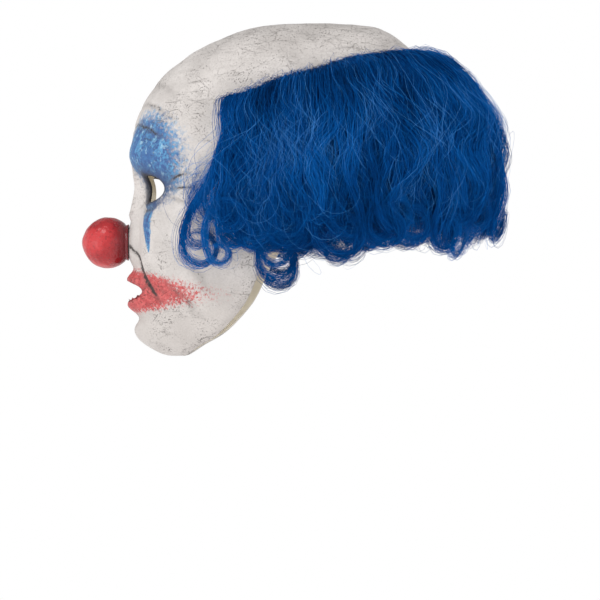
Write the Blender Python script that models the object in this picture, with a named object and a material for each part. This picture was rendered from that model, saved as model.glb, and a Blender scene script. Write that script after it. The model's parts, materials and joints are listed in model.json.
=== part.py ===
"""Over-the-head latex clown mask. A slip-cast shell with eye and mouth openings carries a bulb
nose on a stub, and curled hair hangs from a woven band glued round the sides and back.

Metres, +Z up. The mask faces -Y and the wearer's left is +X. The origin is the centre of the
head cavity, at eye level. Azimuths go round the head from 0 at the face to 180 degrees at the
back, positive on the wearer's left.
"""

import math

import bmesh
import bpy
import numpy as np
from mathutils import Matrix

# Driving sizes of the head
HEAD_HEIGHT = 0.258
HEAD_WIDTH = 0.172
LATEX = 0.0018
CENTRE_Y = 0.014
SQUARENESS = 2.15

# Face layout from the drawing canon: eyes at half height, the face in thirds, five eyes across
CHIN_Z = -HEAD_HEIGHT / 2
HAIRLINE_Z = HEAD_HEIGHT * 3 / 8
FACE_THIRD = (HAIRLINE_Z - CHIN_Z) / 3
BROW_Z = HAIRLINE_Z - FACE_THIRD
NOSE_BASE_Z = BROW_Z - FACE_THIRD
MOUTH_Z = NOSE_BASE_Z - FACE_THIRD / 3
EYE_WIDTH = HEAD_WIDTH / 5
EYE_X = EYE_WIDTH

# Openings in the latex: half width and half height
EYE_HOLE = (0.0155, 0.0105)
MOUTH_HOLE = (0.0255, 0.0085)

# Cross-sections of the head outside the latex, from the crown to the hem under the chin:
# height, front and back along Y, and half width
SECTIONS = np.array(
    [
        (0.1290, 0.014, 0.014, 0.000),
        (0.1275, -0.012, 0.064, 0.024),
        (0.1225, -0.034, 0.083, 0.040),
        (0.1130, -0.057, 0.097, 0.055),
        (0.1000, -0.077, 0.108, 0.067),
        (0.0840, -0.095, 0.116, 0.076),
        (0.0600, -0.110, 0.124, 0.083),
        (0.0350, -0.116, 0.127, 0.086),
        (0.0180, -0.115, 0.127, 0.086),
        (0.0000, -0.111, 0.124, 0.085),
        (-0.0300, -0.110, 0.115, 0.081),
        (-0.0600, -0.110, 0.100, 0.074),
        (-0.0900, -0.110, 0.080, 0.063),
        (-0.1100, -0.107, 0.060, 0.050),
        (-0.1220, -0.099, 0.040, 0.040),
        (-0.1290, -0.084, 0.030, 0.032),
        (-0.1270, -0.058, 0.020, 0.024),
    ]
)
# The hem: azimuth, and the row of SECTIONS where the latex ends
HEM = [
    (0, 15.5),
    (26, 13.7),
    (45, 12.6),
    (60, 11.8),
    (78, 10.5),
    (92, 9.75),
    (112, 9.6),
    (140, 9.95),
    (180, 10.2),
]
SHELL_COLUMNS = 54
SHELL_ROWS = 36
FRONT_CLOSENESS = 0.40
ROW_POWER = 0.75

# The nose stub and the bulb pushed over it
STUB_Z = -0.041
STUB_RADIUS = 0.0095
SEAT_RADIUS = 0.0165
STUB_REACH = 0.016
BULB_RADIUS = 0.020
BULB_Y = -0.135
BULB_WALL = 0.0015
COLLAR_RADIUS = 0.0138
COLLAR_Y = -0.1185
BULB_SIDES = 24
PLUG_GAP = 0.0006
PLUG_BACK_Y = -0.1353

# Hair: where its band's top edge lies, where it ends and how full it is, by azimuth in degrees
BAND_TOP_Z = [
    (56, 0.0670),
    (66, 0.0685),
    (80, 0.0780),
    (92, 0.0840),
    (107, 0.0895),
    (122, 0.0955),
    (145, 0.1010),
    (180, 0.1045),
]
HAIR_TIP_Z = [
    (56, -0.058),
    (64, -0.067),
    (78, -0.079),
    (92, -0.066),
    (105, -0.054),
    (130, -0.047),
    (180, -0.044),
]
HAIR_FULLNESS = [(56, 0.016), (80, 0.026), (120, 0.035), (180, 0.048)]
# How full the hair is on its way down, from its root at 0 to its tip at 1
HAIR_PROFILE = [(0.0, 0.36), (0.16, 0.60), (0.34, 0.77), (0.55, 0.97), (0.72, 1.0), (0.88, 0.94), (1.0, 0.7)]
HAIR_CLEARANCE = 0.0024
ROOT_GAP = 0.0008
HAIR_HANG_Z = 0.010
FORWARD_SWEEP = 11.0
SWEEP_END = 82.0
PANELS = {
    "left_front": (56.0, 95.5),
    "left_rear": (96.5, 149.5),
    "back": (150.5, 209.5),
    "right_rear": (210.5, 263.5),
    "right_front": (264.5, 304.0),
}
TRESSES = 4
UNDER_TRESSES = 2
UNDER_SHARE = 0.38
LAYER_GAP = 0.0006
HINGE_RISE = 0.0015
SIDE_GAP = 0.35

BAND_WIDTH = 0.010
BAND_INSIDE = 0.0006
BAND_OUTSIDE = 0.0018
BAND_COLUMNS = 40

LATEX_WHITE = (0.66, 0.63, 0.60)
NOSE_RED = (0.48, 0.03, 0.04)
FOAM_GREY = (0.30, 0.30, 0.31)
BAND_NAVY = (0.01, 0.03, 0.10)
HAIR_BLUE = (0.01, 0.06, 0.22)


def clear_scene():
    for old in list(bpy.data.objects):
        bpy.data.objects.remove(old)


def material(name, colour, roughness):
    made = bpy.data.materials.new(name)
    made.use_nodes = True
    shader = made.node_tree.nodes["Principled BSDF"]
    shader.inputs["Base Color"].default_value = (*colour, 1)
    shader.inputs["Roughness"].default_value = roughness
    shader.inputs["Metallic"].default_value = 0
    return made


def smoothstep(low, high, at):
    t = np.clip((at - low) / (high - low), 0, 1)
    return t * t * (3 - 2 * t)


def through(table, at):
    """A smooth curve through a table of (place, value), level at both ends."""
    places, values = np.array(table, float).T
    slopes = np.gradient(values, places)
    slopes[[0, -1]] = 0
    at = np.clip(at, places[0], places[-1])
    i = np.clip(np.searchsorted(places, at, side="right") - 1, 0, len(places) - 2)
    step = places[i + 1] - places[i]
    t = (at - places[i]) / step
    start = (1 + 2 * t) * (1 - t) ** 2 * values[i] + t * (1 - t) ** 2 * step * slopes[i]
    end = t * t * (3 - 2 * t) * values[i + 1] + t * t * (t - 1) * step * slopes[i + 1]
    return start + end


def section(row):
    """Height, front, back and half width at a row between those of SECTIONS."""
    above_crown = 2 * SECTIONS[0] - SECTIONS[1]
    above_crown[0] = SECTIONS[1, 0]
    rows = np.vstack([above_crown, SECTIONS, 2 * SECTIONS[-1] - SECTIONS[-2]])
    row = np.clip(np.asarray(row, float), 0, len(SECTIONS) - 1)
    i = np.minimum(row.astype(int), len(SECTIONS) - 2)
    t = (row - i)[..., None]
    a, b, c, d = (rows[i + k] for k in range(4))
    curve = 2 * b + (c - a) * t + (2 * a - 5 * b + 4 * c - d) * t**2 + (3 * b - a - 3 * c + d) * t**3
    return np.moveaxis(curve / 2, -1, 0)


def head_point(azimuth, row):
    """x, y and z of the smooth head without its face, for an azimuth in radians."""
    z, front, back, half_width = section(row)
    sine, cosine = np.abs(np.sin(azimuth)), np.cos(azimuth)
    depth = np.maximum(np.where(cosine > 0, CENTRE_Y - front, back - CENTRE_Y), 1e-6)
    half_width = np.maximum(half_width, 1e-6)
    power = SQUARENESS
    radius = ((sine / half_width) ** power + (np.abs(cosine) / depth) ** power) ** (-1 / power)
    return radius * np.sin(azimuth), CENTRE_Y - radius * cosine, z


def bump(x, z, at_x, at_z, wide, high):
    return np.exp(-(((x - at_x) / wide) ** 2) - ((z - at_z) / high) ** 2)


def nose_relief(x, z):
    """Bridge, wings, the seat for the bulb's collar and the stub inside it."""
    along = np.clip((BROW_Z - 0.006 - z) / (BROW_Z - 0.006 - STUB_Z), 0, 1)
    bridge = 0.002 + 0.012 * along**1.2
    width = 0.0065 + 0.0045 * along
    under = smoothstep(NOSE_BASE_Z - 0.003, NOSE_BASE_Z + 0.005, z)
    above = 1 - smoothstep(BROW_Z - 0.014, BROW_Z + 0.004, z)
    ridge = bridge * np.exp(-((x / width) ** 2)) * under * above
    wings = 0.0060 * bump(x, z, 0.0140, STUB_Z - 0.007, 0.006, 0.0065) * under
    from_stub = np.hypot(x, z - STUB_Z)
    seat = 1 - 0.65 * (1 - smoothstep(SEAT_RADIUS - 0.004, SEAT_RADIUS + 0.005, from_stub))
    stub = STUB_REACH * (1 - smoothstep(STUB_RADIUS - 0.004, STUB_RADIUS + 0.002, from_stub))
    return (ridge + wings) * seat + stub


def mouth_relief(x, z):
    """Muzzle, lips, chin and the folds between them."""
    muzzle = 0.006 * bump(x, z, 0, MOUTH_Z + 0.004, 0.030, 0.024)
    lip_reach = np.exp(-((x / 0.027) ** 4))
    upper_z = MOUTH_Z + 0.0095 - 0.10 * x
    lower_z = MOUTH_Z - 0.0110 + 0.14 * x
    upper = 0.0042 * np.exp(-(((z - upper_z) / 0.0048) ** 2)) * lip_reach
    lower = 0.0050 * np.exp(-(((z - lower_z) / 0.0054) ** 2)) * lip_reach
    fold = -0.0035 * bump(x, z, 0, MOUTH_Z - 0.021, 0.026, 0.0055)
    chin = 0.0070 * bump(x, z, 0, CHIN_Z + 0.016, 0.020, 0.013)
    return muzzle + upper + lower + fold + chin


def face_relief(x, z):
    """How far the face stands forward of the smooth head. The face is the same on both sides."""
    x = np.abs(x)
    brow = 0.0040 * bump(x, z, EYE_X - 0.006, BROW_Z + 0.002, 0.026, 0.0110)
    socket = -0.0085 * bump(x, z, EYE_X - 0.001, 0.000, 0.022, 0.0145)
    corner = -0.0040 * bump(x, z, EYE_WIDTH / 2, 0.001, 0.010, 0.0125)
    cheekbone = 0.0055 * bump(x, z, EYE_X + 0.014, -0.024, 0.022, 0.017)
    cheek = 0.0030 * bump(x, z, EYE_X + 0.004, NOSE_BASE_Z + 0.002, 0.018, 0.020)
    return brow + socket + corner + cheekbone + cheek + nose_relief(x, z) + mouth_relief(x, z)


def shell_point(azimuth, row):
    """x, y and z of the latex's outside."""
    x, y, z = head_point(azimuth, row)
    facing = smoothstep(0.05, 0.45, np.cos(azimuth)) * smoothstep(3.0, 7.0, row)
    return x, y - facing * face_relief(x, z), z


def hem_row(azimuth):
    return through(HEM, np.abs(np.degrees(azimuth)))


def shell_radius(degrees_round, z):
    """Distance of the latex's outside from the head's centre line, at an azimuth and a height."""
    azimuth = math.radians(degrees_round)
    high, low = 0.0, float(len(SECTIONS) - 2)
    for _ in range(30):
        middle = (high + low) / 2
        if head_point(azimuth, middle)[2] > z:
            high = middle
        else:
            low = middle
    x, y, _ = shell_point(azimuth, high)
    return math.hypot(float(x), float(y) - CENTRE_Y)


def add_object(name, mesh, its_material, smooth_angle=40):
    made = bpy.data.objects.new(name, mesh)
    bpy.context.scene.collection.objects.link(made)
    if its_material:
        mesh.materials.append(its_material)
    mesh.shade_smooth()
    mesh.set_sharp_from_angle(angle=math.radians(smooth_angle))
    return made


def mesh_of(name, points, faces):
    mesh = bpy.data.meshes.new(name)
    mesh.from_pydata([tuple(map(float, p)) for p in points], [], faces)
    work = bmesh.new()
    work.from_mesh(mesh)
    bmesh.ops.recalc_face_normals(work, faces=work.faces)
    work.to_mesh(mesh)
    work.free()
    return mesh


def shell_mesh():
    """The latex's outside as an open sheet, with its rows from the crown to the hem."""
    turn = np.linspace(-math.pi, math.pi, SHELL_COLUMNS, endpoint=False)
    azimuths = turn * (FRONT_CLOSENESS + (1 - FRONT_CLOSENESS) * (turn / math.pi) ** 2)
    points = [(0, CENTRE_Y, SECTIONS[0, 0])]
    for share in np.linspace(0, 1, SHELL_ROWS + 1)[1:] ** ROW_POWER:
        points += list(zip(*shell_point(azimuths, share * hem_row(azimuths))))
    faces = []
    for c in range(SHELL_COLUMNS):
        after = (c + 1) % SHELL_COLUMNS
        faces.append((0, 1 + after, 1 + c))
        for r in range(SHELL_ROWS - 1):
            top, bottom = 1 + r * SHELL_COLUMNS, 1 + (r + 1) * SHELL_COLUMNS
            faces.append((top + c, top + after, bottom + after, bottom + c))
    return mesh_of("latex_shell", points, faces)


def oval_cutter(name, x, z, half_width, half_height):
    """An upright oval rod along Y, long enough to pass through the face only."""
    work = bmesh.new()
    bmesh.ops.create_cone(work, cap_ends=True, segments=28, radius1=1, radius2=1, depth=1)
    for v in work.verts:
        v.co = (x + v.co.x * half_width, -0.105 + v.co.z * 0.08, z + v.co.y * half_height)
    bmesh.ops.recalc_face_normals(work, faces=work.faces)
    mesh = bpy.data.meshes.new(name)
    work.to_mesh(mesh)
    work.free()
    cutter = add_object(name, mesh, None)
    cutter.hide_render = True
    cutter.display_type = "WIRE"
    return cutter


def latex_shell(its_material):
    shell = add_object("latex_shell", shell_mesh(), its_material, 60)
    wall = shell.modifiers.new("Wall", "SOLIDIFY")
    wall.thickness = LATEX
    wall.offset = -1
    wall.use_even_offset = True
    wall.thickness_clamp = 0.5
    openings = {
        "eye_left": (EYE_X, 0.0, *EYE_HOLE),
        "eye_right": (-EYE_X, 0.0, *EYE_HOLE),
        "mouth": (0.0, MOUTH_Z, *MOUTH_HOLE),
    }
    for name, size in openings.items():
        cut = shell.modifiers.new(name, "BOOLEAN")
        cut.operation = "DIFFERENCE"
        cut.object = oval_cutter(name + "_cutter", *size)
    return shell


def turned(name, profile, its_material):
    """A solid turned about the nose's own line along Y, from a closed profile of (radius, y)."""
    points, rings = [], []
    for radius, y in profile:
        if radius < 1e-9:
            rings.append([len(points)])
            points.append((0, y, STUB_Z))
            continue
        rings.append(list(range(len(points), len(points) + BULB_SIDES)))
        for k in range(BULB_SIDES):
            angle = 2 * math.pi * k / BULB_SIDES
            points.append((radius * math.cos(angle), y, STUB_Z + radius * math.sin(angle)))
    faces = []
    for first, second in zip(rings, rings[1:] + rings[:1]):
        if len(first) == 1 and len(second) == 1:
            continue
        for k in range(BULB_SIDES):
            after = (k + 1) % BULB_SIDES
            corners = [first[k % len(first)], first[after % len(first)]]
            corners += [second[after % len(second)], second[k % len(second)]]
            faces.append(tuple(dict.fromkeys(corners)))
    return add_object(name, mesh_of(name, points, faces), its_material)


def ball_arc(radius, from_angle, to_angle, steps):
    """Points of (radius, y) on a circle round the bulb's centre, by angle from its front."""
    angles = np.radians(np.linspace(from_angle, to_angle, steps))
    return [(radius * math.sin(a), BULB_Y - radius * math.cos(a)) for a in angles]


def nose_bulb(its_material):
    inner_radius = BULB_RADIUS - BULB_WALL
    neck = COLLAR_RADIUS - BULB_WALL
    outside = ball_arc(BULB_RADIUS, 0, 132, 12)
    inside = ball_arc(inner_radius, 137, 0, 12)
    rim = [
        (COLLAR_RADIUS, COLLAR_Y - 0.002),
        (COLLAR_RADIUS + 0.0006, COLLAR_Y),
        (neck + 0.0004, COLLAR_Y),
        (neck, COLLAR_Y - 0.002),
    ]
    return turned("nose_bulb", outside + rim + inside, its_material)


def nose_foam_plug(its_material):
    radius = BULB_RADIUS - BULB_WALL - PLUG_GAP
    widest = math.degrees(math.acos((BULB_Y - PLUG_BACK_Y) / radius))
    face = ball_arc(radius, 0, widest, 9)
    return turned("nose_foam_plug", face + [(0, PLUG_BACK_Y)], its_material)


def block(points):
    """A closed box of faces over a grid of points, [along, down, through, xyz]."""
    along, down, through_count = points.shape[:3]
    index = np.arange(along * down * through_count).reshape(along, down, through_count)
    faces = []
    for sheet in (index[:, :, 0], index[:, :, -1], index[0], index[-1], index[:, 0], index[:, -1]):
        for i in range(sheet.shape[0] - 1):
            for j in range(sheet.shape[1] - 1):
                corners = (sheet[i, j], sheet[i, j + 1], sheet[i + 1, j + 1], sheet[i + 1, j])
                faces.append(tuple(map(int, corners)))
    return points.reshape(-1, 3), faces


def around(degrees_round, radius, z):
    azimuth = math.radians(degrees_round)
    return radius * math.sin(azimuth), CENTRE_Y - radius * math.cos(azimuth), z


def folded(degrees_round):
    """The azimuth on the left side that mirrors this one."""
    return abs((degrees_round + 180) % 360 - 180)


def root_z(side):
    """The height at which the hair starts: just under its band."""
    return float(through(BAND_TOP_Z, side)) - BAND_WIDTH - ROOT_GAP


def hair_point(degrees_round, down, layer):
    """A point in the hair: azimuth at its root, share of the way down, and share from inside to outside."""
    side = folded(degrees_round)
    root, tip = root_z(side), through(HAIR_TIP_Z, side)
    z = root + down * (tip - root)
    near_front = 1 - smoothstep(PANELS["left_front"][0], SWEEP_END, side)
    swept = side - FORWARD_SWEEP * near_front * smoothstep(0.2, 1.0, down)
    inside = shell_radius(swept, max(z, HAIR_HANG_Z)) + HAIR_CLEARANCE
    fullness = through(HAIR_FULLNESS, side) * through(HAIR_PROFILE, down)
    placed = swept if degrees_round <= 180 else 360 - swept
    return around(placed, inside + layer * fullness, z)


def tress(name, span, layers, its_material, columns=5, rows=8):
    """One lock of hair between two azimuths and between two layers, crowned across its outside."""
    made = np.zeros((columns, rows, 2, 3))
    for i, degrees_round in enumerate(np.linspace(span[0] + SIDE_GAP, span[1] - SIDE_GAP, columns)):
        across = 2 * i / (columns - 1) - 1
        crown = 1 - 0.12 * across**2 * (layers[1] == 1.0)
        for j, down in enumerate(np.linspace(0, 1, rows)):
            made[i, j, 0] = hair_point(degrees_round, down, layers[0])
            made[i, j, 1] = hair_point(degrees_round, down, layers[1] * crown)
    return add_object(name, mesh_of(name, *block(made)), its_material)


def weft_band(its_material):
    """The woven strip that carries the hair, glued to the latex from temple to temple."""
    made = np.zeros((BAND_COLUMNS, 3, 2, 3))
    ends = PANELS["left_front"][0], PANELS["right_front"][1]
    for i, degrees_round in enumerate(np.linspace(*ends, BAND_COLUMNS)):
        side = folded(degrees_round)
        top = float(through(BAND_TOP_Z, side))
        for j, z in enumerate(np.linspace(top, top - BAND_WIDTH, 3)):
            radius = shell_radius(side, z)
            made[i, j, 0] = around(degrees_round, radius + BAND_INSIDE, z)
            made[i, j, 1] = around(degrees_round, radius + BAND_OUTSIDE, z)
    return add_object("weft_band", mesh_of("weft_band", *block(made)), its_material)


def hinge(panel):
    """A point on a panel's swing axis and the axis itself, clear above every root of the panel."""
    span = PANELS[panel]
    turns = np.linspace(*span, 9)
    roots = []
    for degrees_round in turns:
        side = folded(degrees_round)
        z = root_z(side)
        roots.append(around(degrees_round, shell_radius(side, z) + HAIR_CLEARANCE, z))
    roots = np.array(roots)
    axis = (roots[0] - roots[-1]) / np.linalg.norm(roots[0] - roots[-1])
    middle = roots[len(roots) // 2]
    outward = np.array(around(turns[len(roots) // 2], 1, 0)) - (0, CENTRE_Y, 0)
    upward = np.cross(axis, outward)
    upward /= np.linalg.norm(upward)
    highest = max((roots - middle) @ upward)
    return middle + (highest + HINGE_RISE) * upward, axis


def hair_panel(panel, its_material):
    """One panel's locks in two layers, all on an empty that lies on the panel's swing axis."""
    pivot = bpy.data.objects.new("swing_" + panel, None)
    bpy.context.scene.collection.objects.link(pivot)
    pivot.location = hinge(panel)[0]
    low, high = PANELS[panel]
    inner = (0.0, UNDER_SHARE)
    outer = (UNDER_SHARE + LAYER_GAP / HAIR_FULLNESS[0][1], 1.0)
    locks = []
    for label, count, layers in (("tress", TRESSES, outer), ("under_hair", UNDER_TRESSES, inner)):
        edges = np.linspace(low, high, count + 1)
        for k in range(count):
            name = f"{label}_{panel}_{k + 1}"
            locks.append(tress(name, (edges[k], edges[k + 1]), layers, its_material))
    to_pivot = Matrix.Translation(-pivot.location)
    for lock in locks:
        lock.data.transform(to_pivot)
        lock.parent = pivot


def main():
    clear_scene()
    latex_shell(material("painted_latex", LATEX_WHITE, 0.6))
    nose_bulb(material("red_latex", NOSE_RED, 0.35))
    nose_foam_plug(material("foam", FOAM_GREY, 0.95))
    band = material("woven_band", BAND_NAVY, 0.9)
    hair = material("hair", HAIR_BLUE, 0.5)
    weft_band(band)
    for panel in PANELS:
        hair_panel(panel, hair)


main()
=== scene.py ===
"""The picture model of an over-the-head latex clown mask with curled blue hair.

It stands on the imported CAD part: the shell, bulb and hair solids are replaced by finer pieces,
and the woven band and the foam plug stay. Metres, +Z up; the mask faces -Y, the wearer's left
is +X, and azimuths go round the head from 0 at the face to 180 degrees at the back.
"""

import json
import math

import bpy
import numpy as np
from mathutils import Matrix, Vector


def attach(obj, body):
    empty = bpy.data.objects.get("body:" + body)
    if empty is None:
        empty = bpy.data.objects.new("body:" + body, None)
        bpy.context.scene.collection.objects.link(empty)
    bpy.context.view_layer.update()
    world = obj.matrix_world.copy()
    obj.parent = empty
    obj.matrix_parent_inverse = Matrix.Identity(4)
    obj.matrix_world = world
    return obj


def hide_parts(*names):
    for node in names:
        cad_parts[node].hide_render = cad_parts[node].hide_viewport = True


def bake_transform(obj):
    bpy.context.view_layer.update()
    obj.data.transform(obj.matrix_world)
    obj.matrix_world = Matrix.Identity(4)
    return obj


# ---- Sizes shared with the CAD part ----
HEAD_HEIGHT = 0.258
HEAD_WIDTH = 0.172
LATEX = 0.0018
CENTRE_Y = 0.014
SQUARENESS = 2.15
CHIN_Z = -HEAD_HEIGHT / 2
HAIRLINE_Z = HEAD_HEIGHT * 3 / 8
FACE_THIRD = (HAIRLINE_Z - CHIN_Z) / 3
BROW_Z = HAIRLINE_Z - FACE_THIRD
NOSE_BASE_Z = BROW_Z - FACE_THIRD
MOUTH_Z = NOSE_BASE_Z - FACE_THIRD / 3
EYE_WIDTH = HEAD_WIDTH / 5
EYE_X = EYE_WIDTH
# Height, front, back and half width of the smooth head, from the crown to the chin
SECTIONS = np.array([
    (0.1290, 0.014, 0.014, 0.000), (0.1275, -0.012, 0.064, 0.024),
    (0.1225, -0.034, 0.083, 0.040), (0.1130, -0.057, 0.097, 0.055),
    (0.1000, -0.077, 0.108, 0.067), (0.0840, -0.095, 0.116, 0.076),
    (0.0600, -0.110, 0.124, 0.083), (0.0350, -0.116, 0.127, 0.086),
    (0.0180, -0.115, 0.127, 0.086), (0.0000, -0.111, 0.124, 0.085),
    (-0.0300, -0.110, 0.115, 0.081), (-0.0600, -0.110, 0.100, 0.074),
    (-0.0900, -0.110, 0.080, 0.063), (-0.1100, -0.107, 0.060, 0.050),
    (-0.1220, -0.099, 0.040, 0.040), (-0.1290, -0.084, 0.030, 0.032),
    (-0.1270, -0.058, 0.020, 0.024),
])
# The row of SECTIONS that the latex reaches, by azimuth
HEM = [
    (0, 15.5), (26, 13.7), (45, 12.6), (60, 11.8), (78, 10.5),
    (92, 9.75), (112, 9.6), (140, 9.95), (180, 10.2),
]
STUB_Z = -0.041
STUB_RADIUS = 0.0095
SEAT_RADIUS = 0.0165
STUB_REACH = 0.016
BULB_RADIUS = 0.020
BULB_Y = -0.135
BULB_WALL = 0.0015
COLLAR_RADIUS = 0.0138
COLLAR_Y = -0.1185
# Heights of the hair's root and tip and its depth, by azimuth
BAND_TOP_Z = [
    (56, 0.0670), (66, 0.0685), (80, 0.0780), (92, 0.0840),
    (107, 0.0895), (122, 0.0955), (145, 0.1010), (180, 0.1045),
]
HAIR_TIP_Z = [
    (56, -0.058), (64, -0.067), (78, -0.079), (92, -0.066),
    (105, -0.054), (130, -0.047), (180, -0.044),
]
HAIR_FULLNESS = [(56, 0.016), (80, 0.026), (120, 0.035), (180, 0.048)]
HAIR_HANG_Z = 0.010
SWEEP_END = 82.0

# ---- Latex detail ----
# The holes are a little smaller than the CAD part's
EYE_HOLE = (0.0155, 0.0100)
MOUTH_HOLE = (0.0255, 0.0080)
SHELL_COLUMNS = 264
SHELL_ROWS = 180
FRONT_CLOSENESS = 0.40
ROW_POWER = 0.75
BULB_SIDES = 112
# The flat seat behind the collar, and the stub's tip inside the ball
SEAT_Y = COLLAR_Y + 0.0009
STUB_TIP_Y = SEAT_Y + 0.005 - STUB_REACH
CREASES = [
    # (points x, z along it on the wearer's left, depth, width)
    ([(0.000, 0.047), (0.022, 0.050), (0.042, 0.046), (0.056, 0.038)], 0.0013, 0.0021),
    ([(0.000, 0.062), (0.024, 0.066), (0.044, 0.062), (0.060, 0.052)], 0.0012, 0.0021),
    ([(0.000, 0.078), (0.022, 0.081), (0.040, 0.078), (0.055, 0.070)], 0.0010, 0.0020),
    ([(0.0045, 0.030), (0.0050, 0.022), (0.0040, 0.014)], 0.0011, 0.0016),
    ([(0.0165, -0.044), (0.0245, -0.058), (0.0320, -0.072), (0.0370, -0.086)], 0.0016, 0.0022),
    ([(0.020, -0.0125), (0.030, -0.0175), (0.042, -0.0165), (0.052, -0.0090)], 0.0011, 0.0020),
    ([(0.055, 0.004), (0.062, 0.009), (0.069, 0.011)], 0.0011, 0.0016),
    ([(0.056, -0.001), (0.064, 0.000), (0.071, -0.001)], 0.0011, 0.0016),
    ([(0.055, -0.006), (0.062, -0.010), (0.069, -0.014)], 0.0010, 0.0016),
    ([(0.045, -0.070), (0.050, -0.086), (0.047, -0.100)], 0.0009, 0.0020),
    ([(0.056, -0.052), (0.060, -0.066), (0.058, -0.080)], 0.0009, 0.0020),
]

# ---- Hair detail ----
# The panels meet here, where the CAD part leaves a gap between their solids
PANELS = {
    "left_front": (56.0, 96.0),
    "left_rear": (96.0, 150.0),
    "back": (150.0, 210.0),
    "right_rear": (210.0, 264.0),
    "right_front": (264.0, 304.0),
}
# Degrees towards the face, by height
FORWARD_SWEEP = [(-0.040, 9.0), (-0.012, 6.5), (0.008, 1.0), (0.034, -3.5), (0.067, 0.0)]
# Share of the hair's depth, by share of the drop from root to tip
HAIR_PROFILE = [
    (0.0, 0.02), (0.03, 0.34), (0.12, 0.56), (0.30, 0.72),
    (0.50, 0.93), (0.70, 1.0), (1.0, 0.84),
]
UNDER_REACH = (65.0, 295.0)
# Numbers of locks and tufts in each panel
LOCKS_ROUND = 21
LOCKS_DEEP = 4
TUFTS = 6
STRANDS_PER_LOCK = 46
STRANDS_PER_RINGLET = 75
STRAND_POINTS = 27
STRAND_RADIUS = 0.00014
FLYAWAYS = 300
FACE_LIMIT = 50.0
STRAND_PIECES = 5
# The sway that neighbouring strands share: its size round and down the head, and its reach
FLOW_TURN = 14.0
FLOW_HEIGHT = 0.042
FLOW_SWAY = 0.014
FLOW_RIPPLE = 0.0045

# Ringlets: azimuth at the root, lean in degrees, height of the loop, its radius and its turns
RINGLETS = [
    (59, -6.0, -0.041, 0.0160, 0.85),
    (61, -5.0, -0.030, 0.0110, 0.55),
    (62, -3.0, -0.010, 0.0115, 0.60),
    (65, -2.0, -0.052, 0.0090, 0.80),
    (67, -1.0, -0.036, 0.0105, 0.75),
    (70, -4.0, -0.024, 0.0130, 0.60),
    (69, 2.5, -0.040, 0.0125, 0.75),
    (71, 5.0, -0.034, 0.0140, 0.65),
    (73, 3.0, -0.056, 0.0160, 0.85),
    (76, 2.0, -0.047, 0.0125, 0.80),
    (78, 5.0, -0.034, 0.0115, 0.60),
    (82, 2.0, -0.028, 0.0110, 0.70),
    (85, -3.0, -0.030, 0.0140, 0.60),
    (90, -2.0, -0.022, 0.0130, 0.75),
    (98, 1.0, -0.034, 0.0200, 0.72),
    (103, 0.0, -0.026, 0.0150, 0.60),
    (112, 2.0, -0.030, 0.0140, 0.75),
    (120, -2.0, -0.024, 0.0160, 0.70),
    (127, 1.0, -0.030, 0.0150, 0.75),
    (141, 2.0, -0.028, 0.0150, 0.75),
    (156, -2.0, -0.030, 0.0170, 0.80),
    (171, 1.0, -0.024, 0.0140, 0.80),
]
SMALL_RINGLET_REACH = (86.0, 274.0)
SMALL_RINGLET_SPACING = 4.6
STRANDS_PER_SMALL_RINGLET = 50

# Steps of the fibre's blue, darkest to palest: besides the fibre's own uneven tone, the darker steps
# are painted shade at the roots and in the packed hair, the paler ones painted sheen on the loose hairs
HAIR_SHADES = [
    (0.0006, 0.018, 0.085),
    (0.0008, 0.038, 0.160),
    (0.0011, 0.062, 0.255),
    (0.0018, 0.090, 0.355),
    (0.0060, 0.135, 0.470),
    (0.0500, 0.235, 0.620),
]

# ---- Room ----
FLOOR_Z = -1.1
FLOOR_REACH = 8.0
CAMERA_AZIMUTH = 92.0
CAMERA_DISTANCE = 2.6
CAMERA_TARGET = (0.0, 0.0150, -0.0858)
FRAME_WIDTH = 0.468
LAMPS = [
    # (name, place, size, power)
    ("key", (1.3, -1.0, 1.7), 0.9, 20),
    ("fill", (1.5, 1.6, 0.3), 1.4, 12),
    ("front", (1.1, -1.7, -0.1), 1.2, 8),
]

# Random values at whole numbers of x, y and z, for lumps
LATTICE = np.random.default_rng(5).random((32, 32, 32))


# ---- Shapes ----
def smoothstep(low, high, at):
    """0 below low, 1 above high, and a smooth rise between them."""
    t = np.clip((at - low) / (high - low), 0, 1)
    return t * t * (3 - 2 * t)


def through(table, at):
    """A smooth curve through a table of (place, value), level at both ends."""
    places, values = np.array(table, float).T
    slopes = np.gradient(values, places)
    slopes[[0, -1]] = 0
    at = np.clip(at, places[0], places[-1])
    i = np.clip(np.searchsorted(places, at, side="right") - 1, 0, len(places) - 2)
    step = places[i + 1] - places[i]
    t = (at - places[i]) / step
    start = (1 + 2 * t) * (1 - t) ** 2 * values[i] + t * (1 - t) ** 2 * step * slopes[i]
    end = t * t * (3 - 2 * t) * values[i + 1] + t * t * (t - 1) * step * slopes[i + 1]
    return start + end


def lumps(points, size, shift=0.0):
    """Smooth random values from 0 to 1 over 3-D points, with features of about this size."""
    at = np.asarray(points) / size + shift
    cell = np.floor(at).astype(int)
    part = at - cell
    part = part * part * (3 - 2 * part)
    total = 0
    for corner in np.ndindex(2, 2, 2):
        weight = np.prod(np.where(corner, part, 1 - part), axis=-1)
        i, j, k = np.moveaxis((cell + corner) % 32, -1, 0)
        total = total + weight * LATTICE[i, j, k]
    return total


def waves(points, *layers):
    """How far a cast surface stands out or in, from layers of (height, size, shift)."""
    return sum(high * (lumps(points, size, shift) - 0.5) for high, size, shift in layers)


def unit(vectors):
    return vectors / np.maximum(np.linalg.norm(vectors, axis=-1, keepdims=True), 1e-9)


def round_head(azimuth, radius, z):
    """Points at this azimuth in radians and distance from the head's centre line."""
    return np.stack([radius * np.sin(azimuth), CENTRE_Y - radius * np.cos(azimuth), z], -1)


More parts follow.
